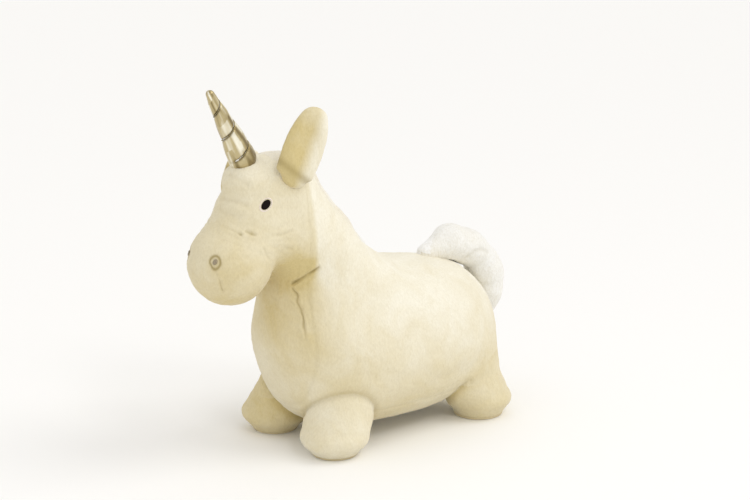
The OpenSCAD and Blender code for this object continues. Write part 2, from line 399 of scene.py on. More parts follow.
def plush(name, pale, warm, crease_shade, sheen=0.3, pile=1.0):
    """Short-pile plush: a nap in soft drifts and tufts, tan where one layer says (partly the cloth's own
    tan, partly painted shade), and darkened with painted shade in its creases and seams where another layer
    says.
    """
    m, t, shader = material(name)
    where = object_space(t)
    drift = noise_node(t, where, 15.0, 4.0, 0.6, 0.8)
    tufts = noise_node(t, object_space(t, (1.0, 1.0, 0.5)), 380.0, 3.0, 0.65, 0.5)
    fibre = noise_node(t, object_space(t, (1.0, 1.0, 0.35)), 1500.0, 2.0, 0.7)
    # Tan layer: partly the cloth's own tan, partly painted shade.
    amount = node(t, "ShaderNodeAttribute", attribute_name="warm").outputs["Fac"]
    shift = spread(t, drift, 0.3, 0.7, -0.16, 0.16)
    amount = node(t, "ShaderNodeMath", {0: amount, 1: shift}, operation="ADD", use_clamp=True).outputs[0]
    colour = mix(t, "MIX", amount, pale, warm)
    speck = mix(t, "MIX", spread(t, tufts, 0.3, 0.65), (0.86, 0.84, 0.79, 1), (1, 1, 1, 1))
    colour = mix(t, "MULTIPLY", 0.6 * pile, colour, speck)
    # Painted shade: creases and seams are darkened towards the crease colour by a per-vertex layer.
    groove = node(t, "ShaderNodeAttribute", attribute_name="groove").outputs["Fac"]
    t.links.new(mix(t, "MIX", groove, colour, crease_shade), shader.inputs["Base Color"])
    t.links.new(spread(t, tufts, 0.0, 1.0, 0.84, 0.98), shader.inputs["Roughness"])
    shader.inputs["Sheen Weight"].default_value = sheen
    shader.inputs["Sheen Roughness"].default_value = 0.5
    shader.inputs["Specular IOR Level"].default_value = 0.1
    bumps(t, shader, (tufts, 0.42 * pile, 0.0020), (fibre, 0.35, 0.0006))
    return m


def lame(name):
    """Crushed gold lame: a metallic weave in two random tones, with painted highlights and painted dark
    reflections in lengthwise streaks, painted shade along the thread groove, and fine lengthwise crumples.
    """
    m, t, shader = material(name)
    where = object_space(t)
    long = object_space(t, (1.0, 1.0, 0.22))
    crumple = noise_node(t, long, 150.0, 4.0, 0.6, 1.2)
    weave = noise_node(t, where, 2600.0, 1.0, 0.5)
    blotch = noise_node(t, where, 45.0, 3.0)
    tone = node(t, "ShaderNodeAttribute", attribute_name="tone").outputs["Fac"]
    colour = mix(t, "MIX", spread(t, blotch, 0.3, 0.7), srgb(182, 166, 124), srgb(202, 188, 146))
    # Painted highlights and painted dark reflections, in lengthwise streaks.
    colour = mix(t, "MIX", spread(t, tone, 0.56, 0.76), colour, srgb(250, 246, 228))
    colour = mix(t, "MIX", spread(t, tone, 0.44, 0.22), colour, srgb(140, 124, 84))
    groove = node(t, "ShaderNodeAttribute", attribute_name="groove").outputs["Fac"]
    # Painted shade along the thread groove.
    colour = mix(t, "MIX", groove, colour, srgb(112, 98, 62))
    t.links.new(colour, shader.inputs["Base Color"])
    shader.inputs["Metallic"].default_value = 0.85
    t.links.new(spread(t, crumple, 0.2, 0.8, 0.24, 0.46), shader.inputs["Roughness"])
    shader.inputs["Sheen Weight"].default_value = 0.1
    bumps(t, shader, (crumple, 0.55, 0.0020), (weave, 0.25, 0.0003))
    return m


def thread(name, colour, glint, rough=0.5, sheen=0.25):
    """Embroidery thread: fine parallel strands, lighter in bands as a painted glint."""
    m, t, shader = material(name)
    inputs = {"Vector": object_space(t), "Scale": 260.0, "Distortion": 1.5, "Detail": 2.0}
    strand = node(t, "ShaderNodeTexWave", inputs, wave_type="BANDS",
                  bands_direction="DIAGONAL").outputs["Fac"]
    # Painted glint: the strands are lighter in bands.
    shine = mix(t, "MIX", spread(t, strand, 0.2, 0.9, 0.0, 0.7), colour, glint)
    t.links.new(shine, shader.inputs["Base Color"])
    t.links.new(spread(t, strand, 0.0, 1.0, rough + 0.15, rough), shader.inputs["Roughness"])
    shader.inputs["Sheen Weight"].default_value = sheen
    shader.inputs["Specular IOR Level"].default_value = 0.6 * sheen + 0.08
    bumps(t, shader, (strand, 0.5, 0.0004))
    return m


def moulded(name, colour, second, rough=0.35, metallic=0.0, grain=500.0, depth=0.0002, see_through=0.0):
    """Moulded plastic, film or cast metal, with fine grain and handling marks."""
    m, t, shader = material(name)
    where = object_space(t)
    cloud = noise_node(t, where, 30.0, 4.0)
    fine = noise_node(t, where, grain, 3.0)
    t.links.new(mix(t, "MIX", spread(t, cloud, 0.35, 0.7), colour, second), shader.inputs["Base Color"])
    t.links.new(spread(t, cloud, 0.3, 0.7, rough, rough + 0.16), shader.inputs["Roughness"])
    shader.inputs["Metallic"].default_value = metallic
    shader.inputs["Transmission Weight"].default_value = see_through
    bumps(t, shader, (fine, 0.4, depth))
    return m


def woven(name, colour, second, pitch=1800.0):
    """A close tape weave."""
    m, t, shader = material(name)
    where = object_space(t)
    warp = node(t, "ShaderNodeTexWave", {"Vector": where, "Scale": pitch / 6, "Distortion": 0.4},
                bands_direction="X").outputs["Fac"]
    weft = node(t, "ShaderNodeTexWave", {"Vector": where, "Scale": pitch / 4, "Distortion": 0.4},
                bands_direction="Y").outputs["Fac"]
    both = node(t, "ShaderNodeMath", {0: warp, 1: weft}, operation="MULTIPLY").outputs[0]
    t.links.new(mix(t, "MIX", spread(t, both, 0.0, 0.7), second, colour), shader.inputs["Base Color"])
    shader.inputs["Roughness"].default_value = 0.8
    shader.inputs["Sheen Weight"].default_value = 0.2
    bumps(t, shader, (both, 0.6, 0.0004))
    return m


# Each plush gets a pale colour, a tan colour (partly the cloth's own tan, partly painted shade), and a
# painted shade colour for its creases and seams.
CREASE_SHADE = srgb(158, 140, 88)
BODY_PLUSH = plush("plush_body", srgb(245, 241, 226), srgb(213, 196, 144), CREASE_SHADE)
FACE_PLUSH = plush("plush_face", srgb(245, 241, 226), srgb(213, 196, 144), CREASE_SHADE)
WHITE_PLUSH = plush("plush_white", srgb(246, 246, 244), srgb(238, 232, 216), srgb(208, 202, 184), 0.35, 1.3)
# The soles are tan: partly the felt's own colour, partly painted shade where the feet meet the floor.
SOLE_FELT = plush("sole_felt", srgb(226, 214, 180), srgb(205, 188, 146), CREASE_SHADE, 0.2, 0.6)
LAME = lame("gold_lame")
HORN_THREAD = thread("horn_thread", srgb(120, 104, 62), srgb(196, 180, 128))
EYE_THREAD = thread("eye_thread", srgb(12, 7, 7), srgb(30, 20, 20), rough=0.4, sheen=0.0)
RIM_THREAD = thread("eye_rim_thread", srgb(246, 232, 224), srgb(254, 246, 240))
NOSTRIL_THREAD = thread("nostril_thread", srgb(140, 126, 104), srgb(186, 174, 150))
STUFFING = plush("fibre_filling", srgb(250, 250, 250), srgb(238, 238, 236), srgb(220, 220, 218), 0.2, 1.5)
VINYL = moulded("vinyl_film", srgb(214, 218, 222), srgb(196, 202, 210), 0.22, see_through=0.25)
VALVE_PLASTIC = moulded("valve_plastic", srgb(236, 234, 226), srgb(222, 219, 208), 0.4)
ZIP_METAL = moulded("zip_metal", srgb(196, 196, 198), srgb(168, 168, 172), 0.25, 1.0, 900.0, 0.0001)
ZIP_PLASTIC = moulded("zip_coil", srgb(244, 241, 230), srgb(228, 222, 204), 0.4)
ZIP_TAPE = woven("zip_tape", srgb(244, 238, 220), srgb(206, 196, 166))


# ---------------------------------------------------------------- pile, seams and creases
def pile_height(p, seed=3, drift=1.0):
    """Height of the nap: soft drifts, clumps and tufts."""
    soft = 0.8 * noise(p, 64, seed) + 0.45 * noise(p, 24, seed + 1)
    return drift * soft + 0.26 * noise(p, 7.5, seed + 2) + 0.24 * noise(p, 3.8, seed + 3)


# Folds in the cloth: route, depth, width, and how much painted shade darkens the fold.
FOLDS = [
    (((17, -257, 358), (28, -254, 356), (38, -248, 352), (43, -243, 349)), 2.2, 2.3, 1.0),
    (((46, -236, 353), (53, -227, 347)), 2.0, 2.2, 0.85),
    (((-17, -257, 358), (-30, -252, 355), (-44, -242, 349)), 1.5, 2.1, 0.70),
    (((60, -204, 343), (60, -188, 341), (60, -170, 343)), 1.1, 2.6, 0.05),
    (((57, -202, 327), (58, -186, 322), (58, -168, 318)), 1.2, 2.8, 0.08),
    (((60, -214, 350), (62, -190, 351), (61, -178, 354)), 0.6, 3.0, 0.0),
    (((59, -217, 327), (58, -210, 315), (55, -203, 305)), 1.0, 2.2, 0.12),
    (((40, -152, 261), (48, -148, 266), (57, -142, 273), (69, -128, 285)), 2.6, 2.3, 1.0),
    (((-40, -152, 261), (-56, -142, 273), (-69, -128, 284)), 2.4, 2.3, 0.8),
    (((41, -152, 254), (47, -151, 240), (55, -148, 224), (57, -148, 212), (64, -147, 181)),
     1.8, 2.0, 0.60),
    (((50, -150, 252), (59, -144, 240), (66, -140, 226), (68, -140, 214)), 1.0, 1.8, 0.22),
    (((60, -146, 262), (64, -142, 250), (70, -136, 240)), 1.2, 2.6, 0.18),
    (((0, -229, 426), (14, -227, 421), (30, -220, 414)), 1.2, 4.0, 0.16),
    (((-12, -238, 392), (10, -238, 391), (34, -226, 386)), 1.3, 4.6, 0.14),
    (((-14, -246, 376), (8, -246, 375), (30, -238, 371)), 0.9, 4.5, 0.08),
    (((31, -282, 303), (35, -281, 294), (38, -278, 284), (38, -273, 272)), 1.4, 1.7, 0.55),
    (((-31, -282, 303), (-37, -281, 294), (-38, -273, 272)), 1.3, 1.5, 0.42),
    (((22, -262, 252), (34, -258, 256), (46, -248, 262)), 0.9, 3.5, 0.05),
    (((70, -50, 205), (88, -8, 190), (98, 44, 186)), 1.3, 9.0, 0.0),
    (((96, 150, 108), (108, 110, 96), (114, 60, 92)), 1.4, 10.0, 0.0),
    (((100, -70, 120), (112, -20, 110), (118, 30, 112)), 1.1, 10.0, 0.0),
    (((82, 128, 44), (92, 134, 56), (104, 137, 70)), 1.4, 2.6, 0.22),
]
NOSTRIL = ((32.5, -281.5, 313), 8.0)       # centre and radius of its stitched ring
DEEPEST = 3.2                              # no fold is cut deeper, since the cloth is 4 mm thick


def distance_to_seams(p):
    """Distance to each kind of sewn seam, with its depth, width and the painted shade along it."""
    low = p[:, 2] < LEG_TOP
    leg = np.where(low, np.abs(legs(p) - core(p)) * 0.7, 99)
    leg = leg + 12 * ramp(p[:, 1], 120, 160) * ramp(p[:, 2], 45, 80)
    muzzle = np.where(p[:, 1] < THROAT_Y + 4, np.abs((p - MUZZLE_SEAM[0]) @ MUZZLE_SEAM[1]), 99)
    front = np.where(low & (leg < 0), 99, np.abs(p[:, 1] - FRONT_SEAM_Y))
    chin = np.where(p[:, 1] < FRONT_SEAM_Y, np.abs(p[:, 2] - CHIN_Z), 99)
    belly = np.abs(p[:, 2] - BELLY_SEAM_Z)
    return ((leg, 2.6, 3.2, 0.30), (muzzle, 0.4, 3.0, 0.03), (front, 0.6, 2.4, 0.08), (chin, 0.4, 3.0, 0.02),
            (belly, 0.6, 2.6, 0.08))


def is_leg(p):
    return (legs(p) < core(p)) & (p[:, 2] < LEG_TOP)


def cover_relief(p):
    """Displacement along the normal, and how much painted shade each point gets in its seams, folds and
    nostril.
    """
    height = pile_height(p)
    painted_shade = np.zeros(len(p), np.float32)
    on_leg = is_leg(p)
    for k, (d, depth, width, shade) in enumerate(distance_to_seams(p)):
        d = np.where(on_leg & (k > 0), 99, d)
        height -= depth * bump(d, width) - 0.3 * depth * bump(d - 2.4 * width, 1.3 * width)
        # Painted shade along each seam.
        painted_shade = np.maximum(painted_shade, shade * bump(d, width * 0.8))
    for route, depth, width, shade in FOLDS:
        near = np.flatnonzero(length(p - vec(*np.mean(route, axis=0))) < 110)
        q = p[near]
        d = path_distance(q + 1.6 * noise(q, 11, 9)[:, None], route)
        height[near] -= depth * bump(d, width) - 0.45 * depth * bump(d - 2.1 * width, 1.2 * width)
        # Painted shade along each fold.
        painted_shade[near] = np.maximum(painted_shade[near], shade * bump(d, width * 0.7))
    q = np.stack([np.abs(p[:, 0]), p[:, 1], p[:, 2]], axis=1)
    (x, y, z), r = NOSTRIL
    d = length((q - vec(x, y, z)) * vec(1, 1, 0.85)) + 1.3 * noise(p, 7, 55)
    height -= 1.4 * bump(d - r, 1.8) + 1.6 * bump(d, 5.0)
    # Painted shade in the nostril's sunken ring and dimple.
    painted_shade = np.maximum(painted_shade, 0.85 * bump(d - r, 1.8) + 0.5 * bump(d, 4.5))
    return np.maximum(height, -DEEPEST), painted_shade


def ramp(value, low, high):
    t = np.clip((value - low) / (high - low), 0, 1)
    return t * t * (3 - 2 * t)


def warmth(p):
    """How tan each point is, as the cloth's own tan and painted shade together: the face, chest and feet are
    tanner than the back.
    """
    # Painted shade: the sides grow tan towards the bottom, and near the front seam below the neck.
    side = 0.10 + 0.55 * (1 - ramp(p[:, 2], 45, 235))
    side = side + 0.30 * bump(length((p - vec(70, -95, 215)) * vec(1, 1, 0.8)), 70)
    # The front panels are tan, partly as the cloth's own tan and partly as painted shade: tanner across the
    # chest, paler up the head, tanner again at the front of the brow.
    front = 0.52 + 0.34 * bump(p[:, 2] - 225, 75)
    front = front - 0.08 * ramp(p[:, 2], 330, 380) - 0.2 * ramp(p[:, 2], 405, 440)
    front = front + 0.12 * bump(length((p - vec(-5, -250, 390)) * vec(1, 1, 1.4)), 55)
    # Painted shade in the hollow under the jaw.
    hollow = 0.55 * bump(length((p - vec(52, -152, 285)) * vec(0.8, 0.9, 1.0)), 30)
    width = 6 + 26 * (1 - ramp(p[:, 2], 230, 285))
    across = ramp(FRONT_SEAM_Y + 9 - p[:, 1], -width, width * 0.6)
    # The feet grow tan towards the rear; the right front foot is made tanner as painted shade, and so are
    # the legs low down where they meet the body.
    foot = 0.38 + 0.27 * ramp(p[:, 1], -60, 150) + 0.5 * (p[:, 0] < 0) * (p[:, 1] < 0)
    foot = foot + 0.3 * bump(core(p), 12) * (p[:, 2] < 60)
    return np.where(is_leg(p), foot, side + (front + hollow - side) * across)


# ---------------------------------------------------------------- the cover
ZIP_BOX = (vec(0, 22, 18), vec(8.8, 75, 9))
VALVE_AT, VALVE_HOLE = vec(0, 118, 0), 17.5
SEAT_START, SEAT_END = (0, -207, 425), (0, -216, 442)


def belly_openings(p):
    """The slot that the zip shows through, and the round hole over the valve."""
    q = np.abs(p - ZIP_BOX[0]) - ZIP_BOX[1]
    slot = length(np.maximum(q, 0)) + np.minimum(q.max(axis=1), 0)
    hole = np.maximum(length((p - VALVE_AT)[:, :2]) - VALVE_HOLE, p[:, 2] - 27)
    return np.minimum(slot, hole)


def cover_with_openings(p):
    return smooth_max(cover(p), -belly_openings(p), 2)


def region_labels(p):
    """Which sewn piece of the cover each point belongs to."""
    side = np.where(p[:, 0] > 0, "left", "right")
    muzzle = ((p - MUZZLE_SEAM[0]) @ MUZZLE_SEAM[1] > 0) & (p[:, 1] < THROAT_Y)
    front = p[:, 1] < FRONT_SEAM_Y
    end = np.where(p[:, 1] < BODY_Y, "front", "rear")
    axis = vec(*SEAT_END) - vec(*SEAT_START)
    seat = ((p - vec(*SEAT_START)) @ axis > 0) & (p[:, 1] < -180)
    names = np.char.add("side_panel_", side)
    names = np.where(p[:, 2] < BELLY_SEAM_Z, "belly_panel", names)
    names = np.where(front & (p[:, 2] >= BELLY_SEAM_Z), "chest_panel", names)
    names = np.where(front & (p[:, 2] >= CHIN_Z), np.char.add("head_panel_", side), names)
    names = np.where(muzzle, "muzzle_panel", names)
    names = np.where(seat, "horn_seat", names)
    return np.where(is_leg(p), np.char.add(np.char.add(np.char.add("leg_", end), "_"), side), names)


def build_cover():
    verts, quads = plush_mesh(cover_with_openings, (-136, -304, -4), (136, 248, 456), PILE)
    height, painted_shade = cover_relief(verts)
    inside_slot = ramp(-belly_openings(verts), -3, 0)
    height *= ramp(verts[:, 2], 1, 12) * (1 - inside_slot)
    moved = verts + vertex_normals(verts, quads) * height[:, None]
    normals = vertex_normals(moved, quads)
    warm = warmth(verts)
    labels = region_labels(verts[quads].mean(axis=1))
    for label in np.unique(labels):
        mesh = take(moved, quads, labels == label, normals, painted_shade, warm)
        face = label.startswith(("muzzle", "head", "chest", "horn"))
        body, replaced, slot = "body", (str(label),), None
        if label == "horn_seat":
            body, replaced, slot = ("body", "horn", SEAT_START, SEAT_END), (), "face_plush"
        cloth = FACE_PLUSH if face else BODY_PLUSH
        plush_piece("plush_" + str(label), mesh, cloth, body, replaced)


# ---------------------------------------------------------------- mane
MANE_HALF_WIDTH, MANE_RISE = 30.0, 4.5


def mane_field(p):
    nape = (p - vec(0, -183, 376)) @ vec(0, math.cos(math.radians(28)), math.sin(math.radians(28)))
    end = np.clip((p[:, 1] + 48) / 60, 0, 1)
    half = MANE_HALF_WIDTH * np.sqrt(1 - end ** 2) + 2.6 * noise(p * vec(1, 0.6, 0.6), 12, 31)
    edge = np.maximum(np.abs(p[:, 0]) - half, np.maximum(-p[:, 1] - 178, p[:, 1] - 12))
    edge = np.maximum(edge, -nape)
    shell = core(p)
    rise = 1.0 + (MANE_RISE - 1.0) * ramp(p[:, 1], -176, -120)
    return smooth_max(smooth_max(shell - rise, edge, 12), -(shell + 3), 2)


def build_mane():
    verts, quads = plush_mesh(mane_field, (-40, -190, 230), (40, 24, 462), PILE)
    outer = ramp(core(verts), 0.0, 2.0)
    height = (pile_height(verts, 41, 0.4) + 0.7 * noise(verts * vec(1, 1, 0.4), 9, 47)) * outer
    moved = verts + vertex_normals(verts, quads) * height[:, None]
    part = -0.9 * bump(verts[:, 0] + 2 * noise(verts, 30, 5), 2.5) * outer
    moved = moved + vertex_normals(verts, quads) * part[:, None]
    # Painted shade along the parting; the mane is tinted tan at its front end and along its edges.
    mesh = (moved, quads, vertex_normals(moved, quads), 0.2 * (part < -0.5),
            0.1 + 0.9 * np.maximum(1 - ramp(verts[:, 1], -160, -115), ramp(np.abs(verts[:, 0]), 17, 29)))
    plush_piece("plush_mane", mesh, WHITE_PLUSH, "body", ("mane",))


# ---------------------------------------------------------------- ears
EAR_ROOT = (58, -161, 426)
EAR_LENGTH, EAR_TIP = 98.0, 12.0


def turn(x, y, z):
    """A rotation by x, then y, then z degrees about the fixed axes."""
    a, b, c = (math.radians(v) for v in (x, y, z))
    rx = np.array([[1, 0, 0], [0, math.cos(a), -math.sin(a)], [0, math.sin(a), math.cos(a)]])
    ry = np.array([[math.cos(b), 0, math.sin(b)], [0, 1, 0], [-math.sin(b), 0, math.cos(b)]])
    rz = np.array([[math.cos(c), -math.sin(c), 0], [math.sin(c), math.cos(c), 0], [0, 0, 1]])
    return (rz @ ry @ rx).astype(np.float32)


def ear_field(p):
    d = None
    for s in np.linspace(0, 1, 25):
        width = 29.5 * (1 - 0.42 * s ** 3.4 - 0.12 * (1 - s) ** 3)
        e = ellipsoid(p, (0, 0, s * (EAR_LENGTH - EAR_TIP)), (width, 11.5 - 4 * s, 8 + 5 * s))
        d = e if d is None else smooth_min(d, e, 4)
    cup = ellipsoid(p, (0, -17, 52), (15, 9.0, 32))
    root = ellipsoid(p, (2, 1, -7), (17, 9, 12))
    return smooth_min(smooth_max(d, -cup, 8), root, 8)


def build_ear(side):
    flip = side == "right"
    rotation = turn(141, 0, 108) if flip else turn(-7, 22, 60)
    verts, quads = plush_mesh(ear_field, (-38, -18, -20), (38, 18, 104), 1.6)
    normals = vertex_normals(verts, quads)
    rim = bump(verts[:, 1], 1.6) * (1 - np.abs(normals[:, 1])) * ramp(verts[:, 2], 5, 20)
    pleat = bump(path_distance(verts * vec(1, 0, 1), ((3, 0, 0), (0, 0, 20))), 3.0) * (verts[:, 1] < 0)
    height = np.maximum(0.8 * pile_height(verts, 61, 0.8) - 0.8 * rim - 1.0 * pleat, -2.0)
    moved = verts + normals * height[:, None]
    normals = vertex_normals(moved, quads)
    # Painted shade: the inner face is tan, most at one edge and the base, paler towards the other edge and
    # the tip.
    inside = 1.0 - 0.75 * ramp(verts[:, 0], -2, 20) - 0.35 * ramp(verts[:, 2], 60, 95)
    warm = np.where(verts[:, 1] < 0, inside, 0.15)
    # Painted shade along the rim seam and in a line across the base of the front face.
    painted_shade = np.maximum(0.12 * rim, 0.55 * bump(verts[:, 2] - 2 + 0.3 * verts[:, 0], 6) * (verts[:, 1] < 2))
    sign = vec(-1, 1, 1) if flip else vec(1, 1, 1)

    def place(q):
        return (q @ rotation.T + vec(*EAR_ROOT)) * sign

    placed = place(moved).astype(np.float32)
    turned = ((normals @ rotation.T) * sign).astype(np.float32)
    if flip:
        quads = quads[:, ::-1]
    front = verts[quads].mean(axis=1)[:, 1] < 0
    joint = ("body", "ear_" + side, place(vec(0, 0, -6)), place(vec(0, 0, 12)))
    for which, keep in (("inner", front), ("outer", ~front)):
        name = "ear_%s_%s" % (side, which)
        mesh = take(placed, quads, keep, turned, painted_shade, warm)
        cloth = FACE_PLUSH if which == "inner" else BODY_PLUSH
        plush_piece("plush_" + name, mesh, cloth, joint, (name,))


# ---------------------------------------------------------------- horn
HORN_ROOT, HORN_LEAN = (0, -208, 446), 29.0
HORN_LENGTH, HORN_R, HORN_TIP_R = 116.0, 20.0, 6.2
HORN_BASE = 19             # how far its rounded root goes into the head
THREAD_LOW, THREAD_HIGH, THREAD_TURNS, THREAD_START = 8.0, 103.0, 2.5, 314.0
PLY_R, PLY_OFFSET, PLY_TWISTS = 0.48, 0.34, 70


def horn_radius(z):
    """Radius of the stuffed cone at height z, rounded at its tip."""
    straight = HORN_LENGTH - HORN_TIP_R
    t = np.clip(z / straight, -1, 1)
    cone = HORN_R + (HORN_TIP_R - HORN_R) * t + 0.6 * np.sin(np.pi * np.clip(t, 0, 1))
    cap = np.sqrt(np.maximum(HORN_TIP_R ** 2 - np.maximum(z - straight, 0) ** 2, 0))
    ball = np.sqrt(np.maximum(HORN_R ** 2 - np.minimum(z, 0) ** 2, 0))
    return np.where(z > straight, np.minimum(cone, cap), np.where(z < 0, ball, cone))


def thread_angle(z):
    rise = THREAD_HIGH - THREAD_LOW
    return np.radians(THREAD_START) + 2 * np.pi * THREAD_TURNS * (z - THREAD_LOW) / rise


def build_horn():
    around, along = 150, 210
    rotation = turn(HORN_LEAN, 0, 0)
    a = np.linspace(0, 2 * np.pi, around, endpoint=False)
    u = np.linspace(0, 1, along)
    rows = np.where(u < 0.93, u * 0.985 / 0.93, 1 - 0.015 * ((1 - u) / 0.07) ** 2)
    z = -HORN_BASE + (HORN_LENGTH + HORN_BASE) * rows
    aa, zz = (g.ravel() for g in np.meshgrid(a, z, indexing="ij"))
    pitch = (THREAD_HIGH - THREAD_LOW) / THREAD_TURNS
    lag = (aa - thread_angle(zz) + np.pi) % (2 * np.pi) - np.pi
    away = lag / (2 * np.pi) * pitch
    held = ramp(zz, THREAD_LOW - 6, THREAD_LOW) * (1 - ramp(zz, THREAD_HIGH, THREAD_HIGH + 5))
    r = horn_radius(zz)
    flat = np.stack([np.cos(aa) * r, np.sin(aa) * r, zz], axis=1).astype(np.float32)
    streak = noise(flat * vec(1, 1, 0.25), 5.0, 71) * 0.45 + noise(flat * vec(1, 1, 0.35), 11.0, 72) * 0.8
    groove = bump(away, 1.9) * held
    # Streaks for the painted highlights and painted dark reflections of the lame.
    lengthwise = np.stack([np.cos(aa) * 9, np.sin(aa) * 9, zz * 0.16 + 0.5 * lag], axis=1).astype(np.float32)
    tone = 0.5 + 0.42 * noise(lengthwise, 5.5, 75) + 0.16 * noise(lengthwise, 2.6, 76)
    swell = np.cos(np.clip(away / pitch, -0.5, 0.5) * 2 * np.pi + np.pi) * 0.5 * held
    facet = 0.35 * np.cos(3 * aa + 0.03 * zz)
    r = r + (swell + streak + facet) * np.clip(r / 12, 0, 1) - 2.0 * groove * np.clip(r / 9, 0, 1)
    r = np.maximum(r, 0.05)
    local = np.stack([np.cos(aa) * r, np.sin(aa) * r, zz], axis=1).astype(np.float32)
    index = np.arange(around * along).reshape(around, along)
    nxt = np.roll(index, -1, axis=0)
    quads = np.stack([index[:, :-1], nxt[:, :-1], nxt[:, 1:], index[:, 1:]], axis=-1).reshape(-1, 4)
    tip, floor = len(local), len(local) + 1
    local = np.concatenate([local, vec(0, 0, HORN_LENGTH)[None], vec(0, 0, -HORN_BASE - 1)[None]])
    faces = quads.tolist()
    faces += [[int(index[k, -1]), int(nxt[k, -1]), tip] for k in range(around)]
    faces += [[int(nxt[k, 0]), int(index[k, 0]), floor] for k in range(around)]
    obj = mesh_object("lame_horn_cover", (local @ rotation.T + vec(*HORN_ROOT)) * MM, faces)
    # The groove is also painted darker, as painted shade.
    paint(obj, groove=np.append(groove * 0.9, [0, 0]), tone=np.append(tone, [0.5, 0.5]))
    obj.data.materials.append(LAME)
    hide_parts("horn_cover")
    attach(obj, "horn")

    # The thread lies in the groove: two plies twisted together.
    steps, sides = 260, 6
    t = np.linspace(0, 1, steps)
    z = THREAD_LOW + (THREAD_HIGH - THREAD_LOW) * t
    angle = thread_angle(z)
    verts, quads = [], []
    for ply in (0, 1):
        twist = 2 * np.pi * PLY_TWISTS * t + np.pi * ply
        rr = horn_radius(z) - 0.9 + PLY_OFFSET * np.cos(twist)
        centre = np.stack([np.cos(angle) * rr, np.sin(angle) * rr, z + PLY_OFFSET * np.sin(twist)], axis=1)
        tangent = np.gradient(centre, axis=0)
        tangent /= length(tangent)[:, None]
        out = np.stack([np.cos(angle), np.sin(angle), 0 * z], axis=1)
        other = np.cross(tangent, out)
        base = ply * steps * sides
        ring = [centre + PLY_R * (out * math.cos(b) + other * math.sin(b))
                for b in np.arange(sides) * 2 * np.pi / sides]
        verts.append(np.stack(ring, axis=1).reshape(-1, 3))
        for i in range(steps - 1):
            for k in range(sides):
                j = (k + 1) % sides
                quads.append([base + i * sides + k, base + (i + 1) * sides + k,
                              base + (i + 1) * sides + j, base + i * sides + j])
        quads.append([base + k for k in range(sides)])
        quads.append([base + (steps - 1) * sides + k for k in reversed(range(sides))])
    local = np.concatenate(verts).astype(np.float32)
    obj = mesh_object("twisted_horn_thread", (local @ rotation.T + vec(*HORN_ROOT)) * MM, quads)
    obj.data.materials.append(HORN_THREAD)
    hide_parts("horn_thread")
    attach(obj, "horn")


# ---------------------------------------------------------------- tail
TAIL_UPPER = [((0, 137, 247), (16, 16, 16)), ((0, 184, 262), (26, 27, 24)), ((0, 214, 248), (28, 27, 26)),
              ((0, 233, 236), (27, 25, 25))]
TAIL_LOWER = [((0, 247, 222), (26, 27, 27)), ((0, 258, 198), (29, 28, 26)), ((0, 258, 168), (28, 24, 26)),
              ((0, 252, 142), (20, 17, 19))]


def chain(p, links, soft):
    d = None
    for a, b in zip(links[:-1], links[1:]):
        e = taper(p, a, b, 5)
        d = e if d is None else smooth_min(d, e, soft)
    return d


def tail_field(p):
    upper = smooth_min(chain(p, TAIL_UPPER, 10), ellipsoid(p, (0, 192, 240), (19, 37, 19)), 8)
    d = smooth_min(upper, chain(p, TAIL_LOWER, 10), 5)
    clear = 6.5 * np.clip((240 - p[:, 2]) / 25, 0, 1) - 1.5
    return smooth_max(d, clear - core(p) - 40 * (p[:, 1] < 170), 4)


TAIL_SPLIT = (vec(0, 218, 246), vec(0, 0.62, -0.78))
TAIL_FOLD = ((0, 196, 234), (0, 210, 246), (0, 226, 246), (0, 238, 238))


def build_tail():
    verts, quads = plush_mesh(tail_field, (-36, 112, 112), (36, 296, 296), PILE)
    normals = vertex_normals(verts, quads)
    seam = bump(verts[:, 0], 1.8) * (1 - np.abs(normals[:, 0]))
    fold = bump(path_distance(verts * vec(0, 1, 1), TAIL_FOLD), 4.0)
    fold = fold * ramp(np.abs(verts[:, 0]), 8, 20)
    curl = noise(verts * vec(1, 0.6, 0.6), 13, 83)
    height = pile_height(verts, 81, 0.9) + 0.9 * curl - 0.8 * seam - 2.0 * fold
    moved = verts + normals * height[:, None]
    normals = vertex_normals(moved, quads)
    # Painted shade in the seam and the fold, and a tan painted shade where the tail lies against the body.
    painted_shade = np.maximum(0.10 * seam, 0.28 * fold)
    warm = 0.15 + 0.5 * bump(core(verts), 9)
    centre = verts[quads].mean(axis=1)
    lower = (centre - TAIL_SPLIT[0]) @ TAIL_SPLIT[1] > 0
    joints = {"upper": ("body", "tail_upper", (0, 146, 252), (0, 172, 260)),
              "lower": ("tail_upper", "tail_lower", (0, 236, 236), (0, 249, 207))}
    for part, keep in (("upper", ~lower), ("lower", lower)):
        for side in ("left", "right"):
            half = keep & ((centre[:, 0] > 0) == (side == "left"))
            name = "tail_%s_%s" % (part, side)
            mesh = take(moved, quads, half, normals, painted_shade, warm)
            plush_piece("plush_" + name, mesh, WHITE_PLUSH, joints[part], (name,))


